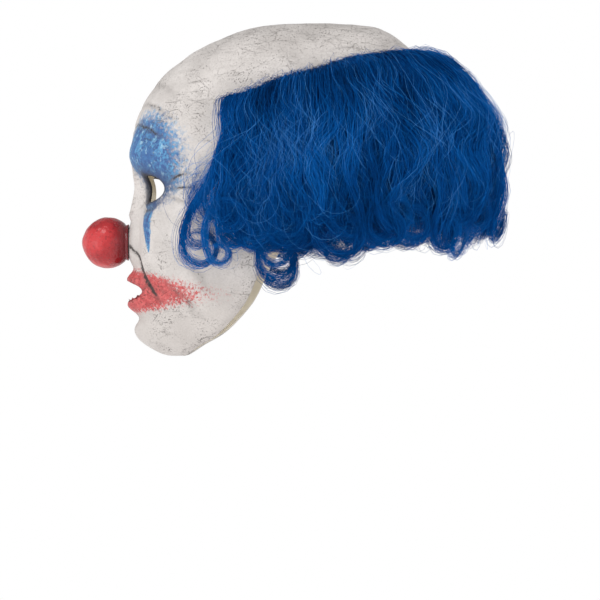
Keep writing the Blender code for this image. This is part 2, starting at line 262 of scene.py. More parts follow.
def section(row):
    """Height, front, back and half width at a row between those of SECTIONS."""
    above_crown = 2 * SECTIONS[0] - SECTIONS[1]
    above_crown[0] = SECTIONS[1, 0]
    rows = np.vstack([above_crown, SECTIONS, 2 * SECTIONS[-1] - SECTIONS[-2]])
    row = np.clip(np.asarray(row, float), 0, len(SECTIONS) - 1)
    i = np.minimum(row.astype(int), len(SECTIONS) - 2)
    t = (row - i)[..., None]
    a, b, c, d = (rows[i + k] for k in range(4))
    curve = 2 * b + (c - a) * t + (2 * a - 5 * b + 4 * c - d) * t**2 + (3 * b - a - 3 * c + d) * t**3
    return np.moveaxis(curve / 2, -1, 0)


def head_point(azimuth, row):
    """x, y and z of the smooth head without its face, for an azimuth in radians."""
    z, front, back, half_width = section(row)
    sine, cosine = np.abs(np.sin(azimuth)), np.cos(azimuth)
    depth = np.maximum(np.where(cosine > 0, CENTRE_Y - front, back - CENTRE_Y), 1e-6)
    half_width = np.maximum(half_width, 1e-6)
    power = SQUARENESS
    radius = ((sine / half_width) ** power + (np.abs(cosine) / depth) ** power) ** (-1 / power)
    return radius * np.sin(azimuth), CENTRE_Y - radius * cosine, z


def bump(x, z, at_x, at_z, wide, high):
    return np.exp(-(((x - at_x) / wide) ** 2) - ((z - at_z) / high) ** 2)


def nose_relief(x, z):
    """Bridge and wings, lower where the bulb's collar sits."""
    along = np.clip((BROW_Z - 0.006 - z) / (BROW_Z - 0.006 - STUB_Z), 0, 1)
    bridge = 0.002 + 0.012 * along**1.2
    width = 0.0065 + 0.0045 * along
    under = smoothstep(NOSE_BASE_Z - 0.003, NOSE_BASE_Z + 0.005, z)
    above = 1 - smoothstep(BROW_Z - 0.014, BROW_Z + 0.004, z)
    ridge = bridge * np.exp(-((x / width) ** 2)) * under * above
    wings = 0.0060 * bump(x, z, 0.0140, STUB_Z - 0.007, 0.006, 0.0065) * under
    from_stub = np.hypot(x, z - STUB_Z)
    seat = 1 - 0.65 * (1 - smoothstep(SEAT_RADIUS - 0.004, SEAT_RADIUS + 0.005, from_stub))
    return (ridge + wings) * seat


def mouth_relief(x, z):
    """Muzzle, lips, chin and the folds between them."""
    muzzle = 0.006 * bump(x, z, 0, MOUTH_Z + 0.004, 0.030, 0.024)
    lip_reach = np.exp(-((x / 0.027) ** 4))
    upper_z = MOUTH_Z + 0.0095 - 0.10 * x
    lower_z = MOUTH_Z - 0.0110 + 0.14 * x
    upper = 0.0042 * np.exp(-(((z - upper_z) / 0.0048) ** 2)) * lip_reach
    lower = 0.0050 * np.exp(-(((z - lower_z) / 0.0054) ** 2)) * lip_reach
    fold = -0.0035 * bump(x, z, 0, MOUTH_Z - 0.021, 0.026, 0.0055)
    chin = 0.0070 * bump(x, z, 0, CHIN_Z + 0.016, 0.020, 0.013)
    return muzzle + upper + lower + fold + chin


def face_relief(x, z):
    """How far the face stands forward of the smooth head. The face is the same on both sides."""
    x = np.abs(x)
    brow = 0.0040 * bump(x, z, EYE_X - 0.006, BROW_Z + 0.002, 0.026, 0.0110)
    socket = -0.0085 * bump(x, z, EYE_X - 0.001, 0.000, 0.022, 0.0145)
    corner = -0.0040 * bump(x, z, EYE_WIDTH / 2, 0.001, 0.010, 0.0125)
    cheekbone = 0.0055 * bump(x, z, EYE_X + 0.014, -0.024, 0.022, 0.017)
    cheek = 0.0030 * bump(x, z, EYE_X + 0.004, NOSE_BASE_Z + 0.002, 0.018, 0.020)
    return brow + socket + corner + cheekbone + cheek + nose_relief(x, z) + mouth_relief(x, z)


def outside_eye(x, z):
    """0 on the edge of the eye hole, growing outwards in hole sizes."""
    return np.hypot((np.abs(x) - EYE_X) / EYE_HOLE[0], z / EYE_HOLE[1]) - 1


def outside_mouth(x, z):
    return np.hypot(x / MOUTH_HOLE[0], (z - MOUTH_Z) / MOUTH_HOLE[1]) - 1


def crease(x, z, course, width, beyond_ends=0.25):
    """1 along a soft line of skin given as (x, z) points, 0 away from it.

    It fades towards its ends and out beyond them, by this share of a stretch."""
    xs, zs = np.array(course, float).T
    deepest = np.zeros(np.shape(x))
    for i in range(len(xs) - 1):
        step = np.array([xs[i + 1] - xs[i], zs[i + 1] - zs[i]])
        along = ((x - xs[i]) * step[0] + (z - zs[i]) * step[1]) / (step @ step)
        along = np.clip(along, 0, 1)
        apart = np.hypot(x - xs[i] - along * step[0], z - zs[i] - along * step[1])
        share = (i + along + beyond_ends) / (len(xs) - 1 + 2 * beyond_ends)
        fade = np.sin(np.pi * np.clip(share, 0, 1)) ** 0.5
        deepest = np.maximum(deepest, np.exp(-((apart / width) ** 2)) * fade)
    return deepest


def skin_lines(x, z):
    """Depth of the creases in the latex at each point, in metres."""
    x = np.abs(x)
    depth = np.zeros(np.shape(x))
    for course, deep, width in CREASES:
        depth = np.maximum(depth, deep * crease(x, z, course, width))
    return depth


def hem_row(azimuth):
    """The row of SECTIONS where the latex ends."""
    return through(HEM, np.abs(np.degrees(azimuth)))


def facing_front(azimuth, row):
    """1 on the front of the head, where the face is, and 0 at its sides and on the crown."""
    return smoothstep(0.05, 0.45, np.cos(azimuth)) * smoothstep(3.0, 7.0, row)


def row_at(azimuth, z):
    """The row at which the smooth head reaches a height, by bisection."""
    high = np.zeros(np.broadcast(azimuth, z).shape)
    low = np.full_like(high, len(SECTIONS) - 2)
    for _ in range(26):
        middle = (high + low) / 2
        above = section(middle)[0] > z
        high = np.where(above, middle, high)
        low = np.where(above, low, middle)
    return high


TABLE_SIDES = np.linspace(0, 180, 91)
TABLE_HEIGHTS = np.linspace(-0.120, 0.122, 90)


def radius_table():
    """Distance of the latex's outside from the head's centre line, by side and height."""
    sides, heights = np.meshgrid(np.radians(TABLE_SIDES), TABLE_HEIGHTS, indexing="ij")
    rows = row_at(sides, heights)
    x, y, z = head_point(sides, rows)
    y = y - facing_front(sides, rows) * face_relief(x, z)
    return np.hypot(x, y - CENTRE_Y)


RADII = radius_table()


def shell_radius(side, z):
    """Distance of the latex's outside from the centre line, read from the table."""
    i = np.clip(side / 180 * (len(TABLE_SIDES) - 1), 0, len(TABLE_SIDES) - 1.001)
    reach = TABLE_HEIGHTS[-1] - TABLE_HEIGHTS[0]
    j = np.clip((z - TABLE_HEIGHTS[0]) / reach, 0, 0.9999) * (len(TABLE_HEIGHTS) - 1)
    a, b = i.astype(int), j.astype(int)
    u, v = i - a, j - b
    low = RADII[a, b] * (1 - u) + RADII[a + 1, b] * u
    high = RADII[a, b + 1] * (1 - u) + RADII[a + 1, b + 1] * u
    return low * (1 - v) + high * v


# ---- Meshes ----
def mesh_from(name, points, faces, material_index=None):
    """A mesh from arrays of points and of equal-sided faces."""
    mesh = bpy.data.meshes.new(name)
    faces = np.asarray(faces, np.int32)
    sides = faces.shape[1]
    mesh.vertices.add(len(points))
    mesh.vertices.foreach_set("co", np.asarray(points, np.float32).ravel())
    mesh.loops.add(faces.size)
    mesh.loops.foreach_set("vertex_index", faces.ravel())
    mesh.polygons.add(len(faces))
    mesh.polygons.foreach_set("loop_start", np.arange(0, faces.size, sides, dtype=np.int32))
    mesh.polygons.foreach_set("use_smooth", np.ones(len(faces), bool))
    if material_index is not None:
        mesh.polygons.foreach_set("material_index", np.asarray(material_index, np.int32))
    mesh.update(calc_edges=True)
    mesh.validate()
    return mesh


def ring_faces(rings, sides):
    """Quads between neighbouring rings that have the same number of points."""
    index = np.arange(rings * sides).reshape(rings, sides)
    after = np.roll(index, -1, axis=1)
    return np.stack([index[:-1], index[1:], after[1:], after[:-1]], -1).reshape(-1, 4)


def add_object(name, data, *materials):
    made = bpy.data.objects.new(name, data)
    bpy.context.scene.collection.objects.link(made)
    for one in materials:
        data.materials.append(one)
    return made


def store(mesh, name, values):
    """Keeps a value for each point of the mesh, which its material reads."""
    layer = mesh.attributes.new(name, "FLOAT", "POINT")
    layer.data.foreach_set("value", np.asarray(values, np.float32))


# ---- Shader helpers ----
class Tree:
    """A Principled material under construction."""

    def __init__(self, name):
        self.material = bpy.data.materials.new(name)
        self.material.use_nodes = True
        self.tree = self.material.node_tree
        self.shader = self.tree.nodes["Principled BSDF"]

    def put(self, socket, value):
        if isinstance(value, bpy.types.NodeSocket):
            self.tree.links.new(value, socket)
        elif isinstance(value, tuple) and len(value) == 3 and socket.type == "RGBA":
            socket.default_value = (*value, 1)
        else:
            socket.default_value = value

    def add(self, kind, inputs, output=0, **settings):
        node = self.tree.nodes.new(kind)
        for key, value in settings.items():
            setattr(node, key, value)
        for key, value in inputs.items():
            self.put(node.inputs[key], value)
        return node.outputs[output]

    def set(self, **inputs):
        """Sets the shader's sockets, whose names have _ for a space."""
        for key, value in inputs.items():
            self.put(self.shader.inputs[key.replace("_", " ")], value)

    def place(self, stretch=(1, 1, 1)):
        here = self.add("ShaderNodeTexCoord", {}, "Object")
        return self.add("ShaderNodeMapping", {"Vector": here, "Scale": stretch})

    def noise(self, scale, detail=3.0, roughness=0.5, stretch=(1, 1, 1), distortion=0.0):
        inputs = {"Vector": self.place(stretch), "Scale": scale, "Detail": detail}
        inputs.update({"Roughness": roughness, "Distortion": distortion})
        return self.add("ShaderNodeTexNoise", inputs)

    def cracks(self, scale, stretch=(1, 1, 1)):
        inputs = {"Vector": self.place(stretch), "Scale": scale}
        return self.add("ShaderNodeTexVoronoi", inputs, "Distance", feature="DISTANCE_TO_EDGE")

    def between(self, value, low, high, to_low=0.0, to_high=1.0):
        inputs = {"Value": value, "From Min": low, "From Max": high}
        inputs.update({"To Min": to_low, "To Max": to_high})
        return self.add("ShaderNodeMapRange", inputs, interpolation_type="SMOOTHSTEP")

    def mix(self, factor, first, second):
        return self.add("ShaderNodeMix", {0: factor, 6: first, 7: second}, 2, data_type="RGBA")

    def math(self, operation, first, second):
        return self.add("ShaderNodeMath", {0: first, 1: second}, operation=operation)

    def times(self, first, second):
        return self.math("MULTIPLY", first, second)

    def plus(self, first, second):
        return self.math("ADD", first, second)

    def larger(self, first, second):
        return self.math("MAXIMUM", first, second)

    def attribute(self, name):
        return self.add("ShaderNodeAttribute", {}, "Fac", attribute_name=name)

    def bump(self, height, distance, strength=1.0):
        inputs = {"Height": height, "Distance": distance, "Strength": strength}
        return self.add("ShaderNodeBump", inputs)


def painted_latex():
    """White mask paint with sponged blue and red over it, and painted shade: grey-brown in the creases
    and hollows, darker blue in the eye sockets and darker white towards the jaw.
    """
    t = Tree("painted_latex")
    patches = t.noise(24, 4, 0.6)
    fine = t.noise(560, 4, 0.65)
    streaks = t.noise(150, 5, 0.68, stretch=(0.4, 0.4, 1.7), distortion=0.7)
    white = t.mix(t.between(patches, 0.32, 0.70), (0.690, 0.650, 0.624), (0.520, 0.487, 0.466))
    white = t.mix(t.between(fine, 0.40, 0.72, 0, 0.30), white, (0.42, 0.385, 0.36))
    # Painted shade: the white a little darker everywhere and much darker towards the jaw
    white = t.mix(t.attribute("painted_jaw_shade"), white, (0.40, 0.360, 0.335))

    worn = t.between(t.noise(40, 3, 0.6), 0.42, 0.66)
    worn = t.larger(worn, t.attribute("dirt"))
    pits = t.between(t.noise(760, 3, 0.62), 0.585, 0.66)
    pits = t.times(pits, t.plus(t.times(worn, 0.85), 0.10))
    crack_line = t.between(t.cracks(85, (0.6, 0.6, 1.6)), 0.0, 0.026, 1, 0)
    crack = t.times(crack_line, t.times(worn, t.between(streaks, 0.40, 0.56)))
    smear = t.times(t.between(streaks, 0.53, 0.70), worn)
    grime = t.larger(t.times(pits, 0.80), t.times(crack, 0.42))
    grime = t.larger(grime, t.times(smear, 0.42))
    grime = t.math("MINIMUM", grime, 0.9)

    sponge = t.noise(330, 5, 0.68)
    blue_edge = t.plus(t.attribute("blue"), t.between(sponge, 0.25, 0.75, -0.16, 0.16))
    blue = t.between(blue_edge, 0.30, 0.66)
    blue_tone = t.mix(t.between(sponge, 0.40, 0.60), (0.006, 0.058, 0.225), (0.062, 0.265, 0.500))
    deep = t.between(t.noise(75, 4), 0.42, 0.60, 0, 0.80)
    blue_tone = t.mix(deep, blue_tone, (0.006, 0.088, 0.290))
    pale = t.between(t.noise(210, 4, 0.65), 0.55, 0.70, 0, 0.75)
    blue_tone = t.mix(pale, blue_tone, (0.330, 0.560, 0.700))
    # Painted shade: the blue darker in the eye sockets, deepest at the holes
    blue_tone = t.mix(t.attribute("shade"), blue_tone, (0.004, 0.026, 0.100))
    painted = t.mix(t.times(blue, 0.95), white, blue_tone)

    grain = t.between(t.noise(480, 4, 0.75), 0.25, 0.75, -0.36, 0.36)
    red = t.between(t.plus(t.attribute("red"), grain), 0.34, 0.74)
    dabs = t.between(t.noise(260, 3, 0.7), 0.38, 0.66)
    red_tone = t.mix(dabs, (0.420, 0.026, 0.030), (0.600, 0.085, 0.085))
    painted = t.mix(t.times(red, 0.93), painted, red_tone)

    painted = t.mix(grime, painted, (0.085, 0.068, 0.058))
    # Painted shade in the creases and hollows, broken up by noise
    broken = t.between(t.noise(240, 3, 0.6), 0.22, 0.55, 0.45, 1.0)
    painted_hollow_shade = t.times(t.attribute("painted_hollow_shade"), broken)
    painted = t.mix(t.times(painted_hollow_shade, 0.58), painted, (0.105, 0.088, 0.080))
    # A crisp near-black painted shadow along the deepest creases
    ragged = t.between(t.noise(300, 3, 0.6), 0.3, 0.7, -0.16, 0.16)
    core = t.plus(t.attribute("painted_hollow_shade"), ragged)
    painted = t.mix(t.between(core, 0.56, 0.84, 0, 0.92), painted, (0.026, 0.022, 0.022))
    painted = t.mix(t.attribute("rim"), painted, (0.010, 0.011, 0.018))

    t.set(Base_Color=painted, Roughness=t.between(patches, 0.3, 0.7, 0.44, 0.62))
    t.set(Specular_IOR_Level=0.38)
    height = t.plus(t.times(fine, 0.5), t.times(pits, -0.9))
    height = t.plus(height, t.times(crack, -1.0))
    height = t.plus(height, t.times(streaks, 0.6))
    t.set(Normal=t.bump(height, 0.0005, 1.0))
    return t.material


def raw_latex():
    """The unpainted inside, with the slush-cast drag marks of the mould."""
    t = Tree("raw_latex")
    drags = t.noise(60, 4, 0.6, stretch=(1, 1, 0.3))
    tone = t.mix(t.between(drags, 0.3, 0.7), (0.78, 0.72, 0.60), (0.66, 0.60, 0.49))
    t.set(Base_Color=tone, Roughness=t.between(drags, 0.3, 0.7, 0.5, 0.68))
    t.set(Normal=t.bump(t.noise(400, 3), 0.0004, 0.6))
    return t.material


def red_latex():
    """Glossy red paint over a lightly pebbled ball, with painted shade on its back half."""
    t = Tree("red_latex")
    pebbles = t.noise(260, 2, 0.5)
    cloud = t.noise(45, 3, 0.6)
    tone = t.mix(t.between(cloud, 0.38, 0.64), (0.330, 0.006, 0.010), (0.520, 0.030, 0.034))
    tone = t.mix(t.between(t.noise(420, 3, 0.65), 0.54, 0.68, 0, 0.6), tone, (0.17, 0.008, 0.012))
    # Painted shade: the back of the ball, towards the face, darker
    tone = t.mix(t.attribute("rear"), tone, (0.130, 0.010, 0.014))
    t.set(Base_Color=tone, Roughness=t.between(cloud, 0.3, 0.7, 0.24, 0.36))
    t.set(Specular_IOR_Level=0.48)
    t.set(Normal=t.bump(pebbles, 0.0012, 0.80))
    return t.material


def foam():
    t = Tree("foam")
    cells = t.noise(1500, 2, 0.6)
    tone = t.mix(t.between(cells, 0.35, 0.65), (0.10, 0.10, 0.105), (0.30, 0.30, 0.31))
    t.set(Base_Color=tone, Roughness=0.95, Normal=t.bump(cells, 0.0006))
    return t.material


def woven_band():
    t = Tree("woven_band")
    inputs = {"Vector": t.place(), "Scale": 320.0, "Distortion": 1.5}
    weave = t.add("ShaderNodeTexWave", inputs, 1, bands_direction="Z")
    tone = t.mix(t.between(weave, 0.2, 0.8), (0.002, 0.030, 0.130), (0.005, 0.060, 0.240))
    t.set(Base_Color=tone, Roughness=0.85, Normal=t.bump(weave, 0.0004))
    return t.material


def hair_shade(number, colour):
    """One step of the fibre's blue, from painted shade through its own tone to painted sheen. Its
    colour is plain, and its gloss varies along the fibre.
    """
    t = Tree(f"hair_shade_{number}")
    t.set(Base_Color=colour, Roughness=t.between(t.noise(220, 2), 0.3, 0.7, 0.34, 0.55))
    t.set(Specular_IOR_Level=0.02)
    return t.material


# ---- Latex shell ----
def shell_grid():
    turn = np.linspace(-math.pi, math.pi, SHELL_COLUMNS, endpoint=False)
    azimuths = turn * (FRONT_CLOSENESS + (1 - FRONT_CLOSENESS) * (turn / math.pi) ** 2)
    shares = np.linspace(0.004, 1, SHELL_ROWS) ** ROW_POWER
    azimuth = np.broadcast_to(azimuths, (SHELL_ROWS, SHELL_COLUMNS))
    return azimuth, shares[:, None] * hem_row(azimuth)


def carved(x, y, z, facing, lines):
    """y of the finished face, from that of the smooth head.

    The nose ends in a flat seat for the bulb's collar, with the stub in its middle."""
    eye, mouth = outside_eye(x, z), outside_mouth(x, z)
    lids = 0.0016 * np.exp(-(((eye - 0.24) / 0.20) ** 2))
    lip_cracks = 0.0005 * np.cos(x * 2 * math.pi / 0.0042 + 6 * lumps(np.stack([x, y, z], -1), 0.01))
    lip_cracks = lip_cracks * np.exp(-(((mouth - 0.55) / 0.35) ** 2)) * (np.abs(x) < 0.024)
    y = y - facing * (face_relief(x, z) - lines + lids + lip_cracks)
    from_stub = np.hypot(x, z - STUB_Z)
    in_front = facing > 0.5
    seat = (1 - smoothstep(SEAT_RADIUS - 0.003, SEAT_RADIUS + 0.006, from_stub)) * in_front
    y = y + (SEAT_Y - y) * seat
    stub = (1 - smoothstep(STUB_RADIUS - 0.004, STUB_RADIUS + 0.002, from_stub)) * in_front
    return y + (STUB_TIP_Y - y) * stub


def uneven(points):
    """Points moved in or out by the small waves of cast latex."""
    outward = points - np.array([0, CENTRE_Y, 0.02])
    depth = waves(points, (0.0012, 0.024, 0.0), (0.0006, 0.009, 9.7))
    below_crown = smoothstep(SECTIONS[0, 0], SECTIONS[1, 0], points[..., 2])
    return points + unit(outward) * (depth * below_crown)[..., None]


def shell_surface(azimuth, row):
    """Points of the finished outside, with the depth of its creases."""
    x, y, z = head_point(azimuth, row)
    lines = skin_lines(x, z)
    y = carved(x, y, z, facing_front(azimuth, row), lines)
    return uneven(np.stack([x, y, z], -1)), lines


def front_point(x, z):
    """The point of the finished face at x and z."""
    row = row_at(0.0, z)
    _, front, _, half_width = section(row)
    reach = (1 - (np.abs(x) / half_width) ** SQUARENESS) ** (1 / SQUARENESS)
    y = CENTRE_Y - (CENTRE_Y - front) * reach
    facing = facing_front(np.arctan2(x, CENTRE_Y - y), row)
    return uneven(np.stack([x, carved(x, y, z, facing, skin_lines(x, z)), z], -1))


def drop_holes(points, faces):
    """Leaves out the faces inside an opening and draws the edge to its outline."""
    flat = points.reshape(-1, 3)
    holes = [(EYE_X, 0.0, *EYE_HOLE), (-EYE_X, 0.0, *EYE_HOLE), (0.0, MOUTH_Z, *MOUTH_HOLE)]
    for at_x, at_z, wide, high in holes:
        middle = flat[faces].mean(axis=1)
        from_centre = np.hypot((middle[:, 0] - at_x) / wide, (middle[:, 2] - at_z) / high)
        cut = (from_centre < 1) & (middle[:, 1] < -0.03)
        edge = np.intersect1d(faces[cut], faces[~cut])
        faces = faces[~cut]
        x, z = (flat[edge, 0] - at_x) / wide, (flat[edge, 2] - at_z) / high
        distance = np.hypot(x, z)
        flat[edge] = front_point(at_x + x / distance * wide, at_z + z / distance * high)
    return flat, faces


def with_wall(points, faces):
    """The skin with its inside and its edges: all points, all faces and the material of each."""
    a, b, c, d = (points[faces[:, i]] for i in range(4))
    # Outwards from each face, as long as twice its area, so that large faces count for more
    face_outward = np.cross(c - a, d - b)
    outward = np.zeros_like(points)
    for corner in range(4):
        np.add.at(outward, faces[:, corner], face_outward)
    every = np.vstack([points, points - LATEX * unit(outward)])
    start, end = faces.ravel(), np.roll(faces, -1, axis=1).ravel()
    count = len(points)
    open_edge = ~np.isin(start * count + end, end * count + start)
    start, end = start[open_edge], end[open_edge]
    rims = np.stack([end, start, start + count, end + count], -1)
    kinds = np.repeat([0, 1, 0], [len(faces), len(faces), len(rims)])
    return every, np.vstack([faces, faces[:, ::-1] + count, rims]), kinds


def blue_paint(side, z):
    """A tall patch round the eye, and a drop that runs down from it."""
    patch = np.hypot((side - EYE_X - 0.004) / 0.0290, (z - 0.023) / 0.0385)
    drop_width = 0.0110 * np.clip((z + 0.050) / 0.050, 0, 1) ** 0.8
    drop = np.abs(side - EYE_X - 0.004) / np.maximum(drop_width, 1e-5)
    drop = np.where((z < 0.006) & (z > -0.050), drop, 9)
    return np.clip(1.45 - np.minimum(patch, drop), 0, 1)


def red_paint(side, z):
    """The lips, and a smear that runs out past them."""
    lips = 1.62 - 0.95 * outside_mouth(side, z)
    smear = 1.06 - np.hypot(side / 0.047, (z - MOUTH_Z + 0.001) / 0.0225)
    return np.clip(np.maximum(lips, smear * 1.5), 0, 1)


def dark_rims(side, z):
    """Dark paint on the edges of the holes, widest towards the nose."""
    eye, mouth = outside_eye(side, z), outside_mouth(side, z)
    eye_width = 0.16 + 0.16 * (side < EYE_X)
    round_eye = 0.95 * np.exp(-((np.clip(eye, 0, 9) / eye_width) ** 2))
    return np.maximum(round_eye, 0.30 * np.exp(-((np.maximum(mouth, 0) / 0.07) ** 2)))


def low_places(side, z):
    """Where painted shade gathers in the hollows, apart from the creases."""
    sockets = 0.30 * bump(side, z, EYE_WIDTH / 2 + 0.001, 0.001, 0.006, 0.010)
    from_collar = np.hypot(side, z - STUB_Z) - COLLAR_RADIUS - 0.001
    under_nose = 0.60 * np.exp(-((from_collar / 0.0022) ** 2))
    under_lip = 0.35 * bump(side, z, 0, MOUTH_Z - 0.021, 0.020, 0.0035)
    return sockets + under_nose + under_lip


def paint_masks(points, azimuth, row, lines):
    """How much of each paint, of the dirt and of the painted shade lies at each point, from 0 to 1."""
    x, _, z = np.moveaxis(points, -1, 0)
    front = facing_front(azimuth, row)
    side = np.abs(x)
    # Painted shade in the creases and hollows, and a little along the hem
    painted_hollow_shade = np.clip(lines / 0.0011, 0, 1) ** 1.4 * 0.85 + low_places(side, z)
    near_hem = smoothstep(0.975, 1.0, row / hem_row(azimuth))
    # Painted shade in the eye sockets, deepest at the hole's edge
    shade = 0.85 * np.exp(-((np.maximum(outside_eye(x, z), 0) / 0.75) ** 2))
    dirt = 0.75 * smoothstep(0.100, 0.126, z) + 0.35 * smoothstep(0.07, 0.11, z)
    return {
        "blue": blue_paint(side, z) * front,
        "red": red_paint(side, z) * front,
        "painted_hollow_shade": np.clip(painted_hollow_shade, 0, 1) * front + 0.30 * near_hem,
        "shade": np.clip(shade, 0, 1) * front,
        "dirt": np.clip(dirt, 0, 1),
        # Painted shade, darker towards the jaw
        "painted_jaw_shade": 0.10 + 0.45 * (1 - smoothstep(-0.110, -0.030, z)),
        "rim": dark_rims(side, z) * front,
    }


def crown_cap():
    """A strip of quads across the small ring at the crown."""
    quads = [(i, -2 - i, -1 - i, i - 1) for i in range(1, SHELL_COLUMNS // 2 - 1)]
    return np.array(quads) % SHELL_COLUMNS


def latex_shell(outside, inside):
    azimuth, row = shell_grid()
    points, lines = shell_surface(azimuth, row)
    flat, faces = drop_holes(points, ring_faces(SHELL_ROWS, SHELL_COLUMNS))
    masks = paint_masks(flat.reshape(points.shape), azimuth, row, lines)
    flat, faces, kinds = with_wall(flat, np.vstack([faces, crown_cap()]))
    shell = add_object("mask_shell", mesh_from("mask_shell", flat, faces, kinds), outside, inside)
    for name, values in masks.items():
        store(shell.data, name, np.tile(values.ravel(), 2))
    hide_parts("latex_shell")
    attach(shell, "mask")


# ---- Nose ----
def bulb_profile():
    """Radius and place on Y, from the front pole over the collar's rolled edge to the inside."""
    outer = np.radians(np.linspace(0, 132, 64))
    inner = np.radians(np.linspace(137, 0, 24))
    inner_radius = BULB_RADIUS - BULB_WALL
    # (beyond the collar's radius, in front of its end)
    edge = [(0.0001, 0.0026), (0.0000, 0.0018), (0.0006, 0.0006), (0.0004, 0.0000)]
    edge += [(0.0004 - BULB_WALL, 0.0000), (-BULB_WALL, 0.0030)]
    beyond, before = np.transpose(edge)
    radius = [BULB_RADIUS * np.sin(outer), COLLAR_RADIUS + beyond, inner_radius * np.sin(inner)]
    y = [BULB_Y - BULB_RADIUS * np.cos(outer), COLLAR_Y - before, BULB_Y - inner_radius * np.cos(inner)]
    return np.maximum(np.concatenate(radius), 2e-5), np.concatenate(y)


def nose_ball(its_material):
    """The bulb and its collar, turned about the nose's line, with the ball a little uneven."""
    radius, y = (values[:, None] for values in bulb_profile())
    turn = np.linspace(0, 2 * math.pi, BULB_SIDES, endpoint=False)
    points = np.stack([radius * np.cos(turn), y + 0 * turn, STUB_Z + radius * np.sin(turn)], -1)
    outward = unit(points - np.array([0, BULB_Y, STUB_Z]))
    depth = waves(points, (0.0011, 0.013, 3.1), (0.0004, 0.0045, 7.7))
    points = points + outward * depth[..., None]
    faces = ring_faces(len(points), BULB_SIDES)
    ball = add_object("nose_ball", mesh_from("nose_ball", points.reshape(-1, 3), faces), its_material)
    # Painted shade on the back half of the ball, towards the collar
    rear = smoothstep(BULB_Y + 0.002, COLLAR_Y - 0.002, points[..., 1])
    store(ball.data, "rear", (rear * 0.9).ravel())
    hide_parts("nose_bulb")
    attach(ball, "mask")


# ---- Hair ----
def folded(degrees_round):
    """The azimuth on the left side that mirrors this one."""
    return np.abs((degrees_round + 180) % 360 - 180)


def hair_place(degrees_round, outward, z):
    """A point at an azimuth and a height, this far out from the latex."""
    side = folded(degrees_round)
    radius = shell_radius(side, np.maximum(z, HAIR_HANG_Z)) + outward
    return round_head(np.radians(degrees_round), radius, z)


def swept(degrees_round, z):
    """The azimuth of a lock at a height: the front ones fall back and then sweep forwards."""
    side = folded(degrees_round)
    near_front = 1 - smoothstep(PANELS["left_front"][0], SWEEP_END, side)
    moved = side - near_front * through(FORWARD_SWEEP, z)
    left = (degrees_round % 360) <= 180
    return np.where(left, moved, 360 - moved)


def off_the_shell(points, clearance):
    """Moves points that would be in the latex out to its surface."""
    x, y, z = np.moveaxis(points, -1, 0)
    azimuth = np.arctan2(x, CENTRE_Y - y)
    side = np.abs(np.degrees(azimuth))
    hem = section(hem_row(azimuth))[0]
    least = np.where(z > hem - 0.004, shell_radius(side, z) + clearance, 0)
    return round_head(azimuth, np.maximum(np.hypot(x, y - CENTRE_Y), least), z)


def lock_choices(panel, rng):
    """One row of choices for each lock of a panel: where it grows, waves and curls.

    Locks side by side belong to a tuft, which waves, leans and curls as one. Towards the face
    they are short, because ringlets hang below them. turn is the azimuth of the root, lean the
    degrees that it moves round, and layer 0 next to the head and 1 outside. end is the height
    where the curl starts, roll how far it turns from flat on the head to rolling under it, and
    hand the way it turns. wide is half its width at the root, and close the share of that
    at its end. steady is 1 where it doesn't sway with the hair round it. rise and arch are
    how far it goes up and sideways just off its root."""
    low, high = PANELS[panel]
    across, deep = np.meshgrid(np.arange(LOCKS_ROUND), np.arange(LOCKS_DEEP), indexing="ij")
    across, deep = across.ravel(), deep.ravel()
    count = len(across)
    share = np.clip((across + 0.5 + rng.uniform(-0.5, 0.5, count)) / LOCKS_ROUND, 0, 1)
    turn = low + (high - low) * share
    layer = (deep + 0.5 + rng.uniform(-0.35, 0.35, count)) / LOCKS_DEEP
    shift = rng.uniform(-0.5, 0.5, LOCKS_DEEP)[deep]
    tuft = np.clip(np.round(share * TUFTS - 0.5 + shift), 0, TUFTS - 1).astype(int)
    centre = low + (high - low) * (tuft + 0.5 - shift) / TUFTS
    side = folded(turn)
    near_face = 1 - smoothstep(84, 106, side)
    backward = np.where(turn <= 180, 1.0, -1.0)

    def choose(lowest, highest, own=0.25):
        """A value for each lock, mostly its tuft's, with a share of its own."""
        shared = rng.random((LOCKS_DEEP, TUFTS))[deep, tuft]
        return lowest + (highest - lowest) * (shared * (1 - own) + rng.random(count) * own)

    hand = np.where(choose(0, 1, 0) < 0.72, backward, -backward)
    short = near_face * choose(0.024, 0.056) + (1 - near_face) * choose(0.000, 0.028)
    curl_radius = choose(0.0090, 0.0170, 0.3)
    thin = 0.24 + 0.76 * smoothstep(57, 82, side)
    return {
        "turn": turn,
        "layer": layer,
        "lean": 0.25 * (np.clip(centre, low, high) - turn) + choose(-3.0, 3.0),
        "end": through(HAIR_TIP_Z, side) + short + 0.008 * (1 - layer) + 1.1 * curl_radius,
        "curl_radius": curl_radius,
        "turns": choose(0.50, 1.05, 0.4),
        "roll": (0.55 - 0.20 * near_face) * math.pi / 2 + choose(-0.8, 0.8, 0.3),
        "hand": hand,
        "wave": choose(0.0020, 0.0060),
        "wave_length": choose(0.040, 0.085),
        "phase": choose(0, 2 * math.pi * 1.3, 0.15),
        "close": np.full(count, 0.66),
        "wide": np.full(count, 0.0068),
        "steady": np.zeros(count),
        "rise": np.full(count, 0.0030),
        "arch": np.zeros(count),
        "strands": np.round(STRANDS_PER_LOCK * thin),
    }


def small_ringlets(low, high, left, rng):
    """Rows like those of RINGLETS, anywhere in the lower hair between two azimuths."""
    first = max(low, SMALL_RINGLET_REACH[0]) + 1
    last = min(high, SMALL_RINGLET_REACH[1]) - 1
    count = round((last - first) / SMALL_RINGLET_SPACING)
    root = rng.uniform(first, last, count)
    radius = rng.uniform(0.0085, 0.0170, count)
    lean = rng.uniform(-5, 5, count)
    end = through(HAIR_TIP_Z, folded(root)) + rng.uniform(0.000, 0.040, count) + radius
    turns = rng.uniform(0.50, 0.95, count)
    return np.stack([root if left else 360 - root, lean, end, radius, turns], -1)


